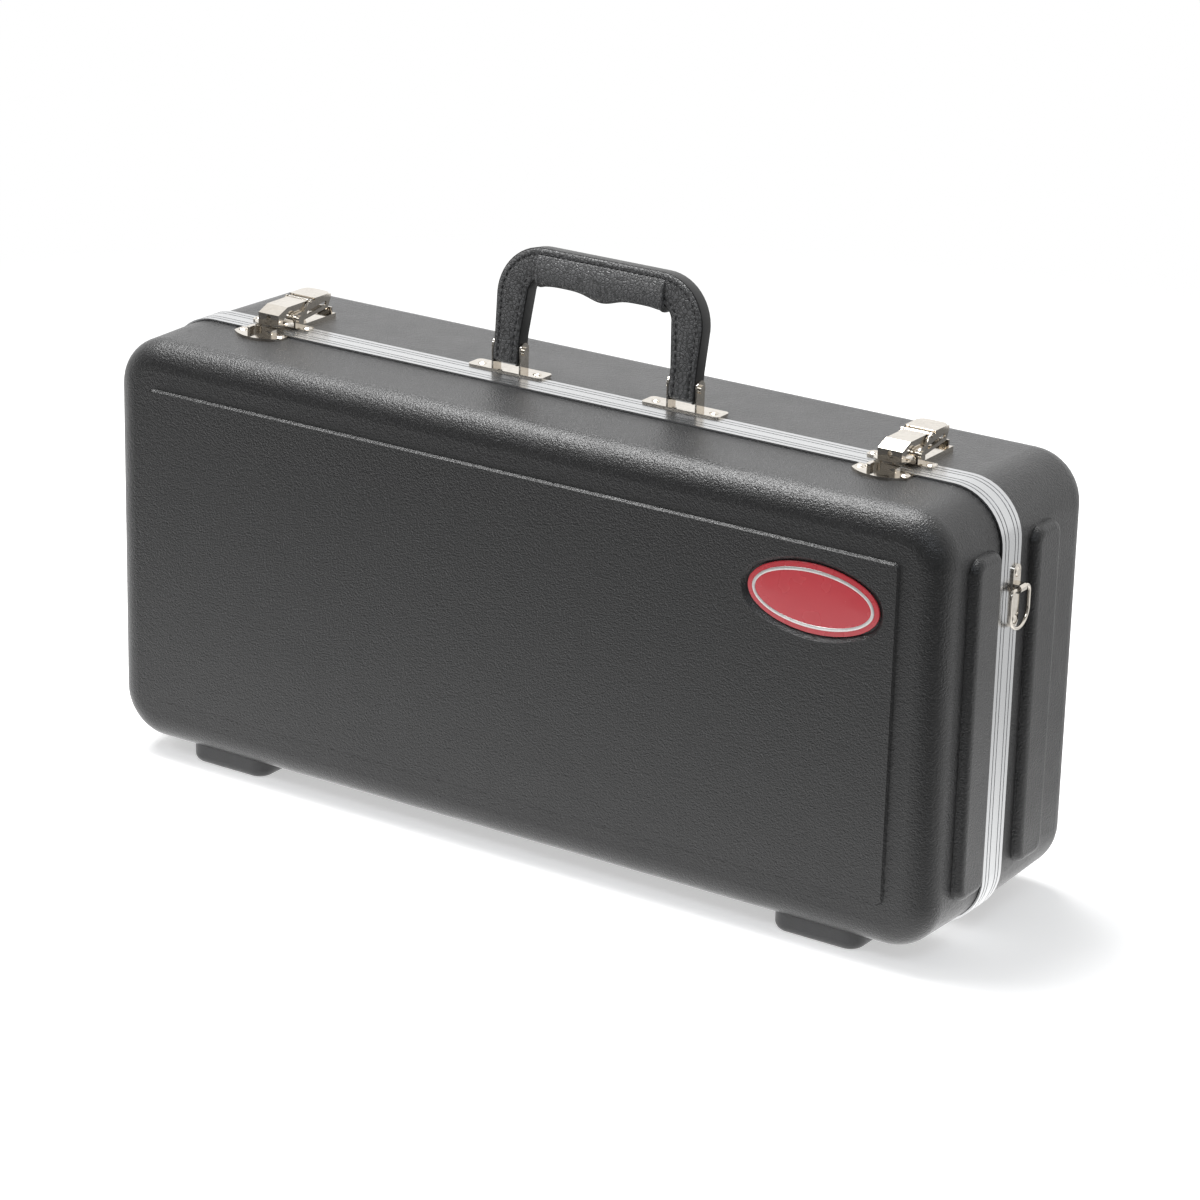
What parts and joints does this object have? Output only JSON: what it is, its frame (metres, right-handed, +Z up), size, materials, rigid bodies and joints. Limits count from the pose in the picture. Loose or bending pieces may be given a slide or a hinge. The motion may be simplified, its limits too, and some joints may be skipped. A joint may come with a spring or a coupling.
{
  "type": "trumpet case",
  "caption": "Hard-shell trumpet case on feet: moulded lid and base with aluminium rims, hinges, draw latches, padded handle, strap rings and a fitted plush lining.",
  "frame": {"origin": "on the floor, under the middle of the case's bounding box, as it stands on its feet", "axes": "+X along the case towards its right end as seen from the lid, +Y towards its back, +Z up"},
  "size_m": [0.572, 0.1624, 0.334],
  "materials": {
    "abs": "leather-grained black ABS",
    "rim": "brushed anodised, fine grooves",
    "plush": "black plush over moulded foam",
    "plush_board": "black plush over board",
    "feet": "satin black",
    "badge": "red enamel with a bright edge",
    "strap_steel": "spring steel",
    "handle_cover": "stitched black leatherette",
    "grip": "padded black leatherette",
    "nickel": "bright nickel plate",
    "pin_steel": "turned steel"
  },
  "bodies": {
    "base": {"base_shell": "abs", "base_rim": "rim", "base_lining": "plush", "base_feet": "feet", "base_foot_rivets": "nickel", "hinge_base_rivets": "nickel", "latch_rivets": "nickel", "latch_tail_rivets": "nickel", "handle_rivets": "nickel", "ring_rivets": "nickel", "hinge_base_leaf_left": "nickel", "hinge_pin_left": "pin_steel", "latch_base_left": "nickel", "latch_pin_left": "nickel", "handle_plate_left": "nickel", "handle_pin_left": "nickel", "ring_bracket_left": "nickel", "hinge_base_leaf_right": "nickel", "hinge_pin_right": "pin_steel", "latch_base_right": "nickel", "latch_pin_right": "nickel", "handle_plate_right": "nickel", "handle_pin_right": "nickel", "ring_bracket_right": "nickel"},
    "lid": {"lid_shell": "abs", "lid_rim": "rim", "lid_lining": "plush", "lid_feet": "feet", "lid_foot_rivets": "nickel", "hinge_lid_rivets": "nickel", "strike_rivets": "nickel", "badge": "badge", "hinge_lid_leaf_left": "nickel", "strike_left": "nickel", "hinge_lid_leaf_right": "nickel", "strike_right": "nickel"},
    "handle": {"handle_core": "strap_steel", "handle_cover": "handle_cover", "handle_grip": "grip"},
    "accessory_lid": {"compartment_lid": "plush_board"},
    "lever_left": {"latch_lever_left": "nickel", "hasp_pin_left": "nickel"},
    "hasp_left": {"latch_hasp_left": "nickel"},
    "ring_left": {"strap_ring_left": "nickel"},
    "lever_right": {"latch_lever_right": "nickel", "hasp_pin_right": "nickel"},
    "hasp_right": {"latch_hasp_right": "nickel"},
    "ring_right": {"strap_ring_right": "nickel"}
  },
  "joints": [
    {"name": "lid_hinge", "type": "hinge", "parent": "base", "child": "lid", "pos_m": [0, -0.01225, 0.0059], "axis": [1, 0, 0], "range_deg": [0, 105]},
    {"name": "handle_pivot", "type": "hinge", "parent": "base", "child": "handle", "pos_m": [0.0075, 0.00015, 0.273], "axis": [1, 0, 0], "range_deg": [-74, 86]},
    {"name": "accessory_lid_hinge", "type": "hinge", "parent": "base", "child": "accessory_lid", "pos_m": [0.176, -0.00775, 0.07715], "axis": [-1, 0, 0], "range_deg": [0, 60]},
    {"name": "lever_pivot_left", "type": "hinge", "parent": "base", "child": "lever_left", "pos_m": [-0.2085, -0.00525, 0.265], "axis": [1, 0, 0], "range_deg": [0, 115]},
    {"name": "hasp_pivot_left", "type": "hinge", "parent": "lever_left", "child": "hasp_left", "pos_m": [-0.2085, 0.00825, 0.2719], "axis": [1, 0, 0], "range_deg": [-115, 0]},
    {"name": "ring_pivot_left", "type": "hinge", "parent": "base", "child": "ring_left", "pos_m": [-0.2836, -0.00685, 0.2045], "axis": [0, 1, 0], "range_deg": [0, 150]},
    {"name": "lever_pivot_right", "type": "hinge", "parent": "base", "child": "lever_right", "pos_m": [0.2085, -0.00525, 0.265], "axis": [1, 0, 0], "range_deg": [0, 115]},
    {"name": "hasp_pivot_right", "type": "hinge", "parent": "lever_right", "child": "hasp_right", "pos_m": [0.2085, 0.00825, 0.2719], "axis": [1, 0, 0], "range_deg": [-115, 0]},
    {"name": "ring_pivot_right", "type": "hinge", "parent": "base", "child": "ring_right", "pos_m": [0.2836, -0.00685, 0.2045], "axis": [0, -1, 0], "range_deg": [0, 150]}
  ],
  "couplings": [
    {"joint": "hasp_pivot_left", "follows": "lever_pivot_left", "ratio": -1},
    {"joint": "hasp_pivot_right", "follows": "lever_pivot_right", "ratio": -1}
  ]
}
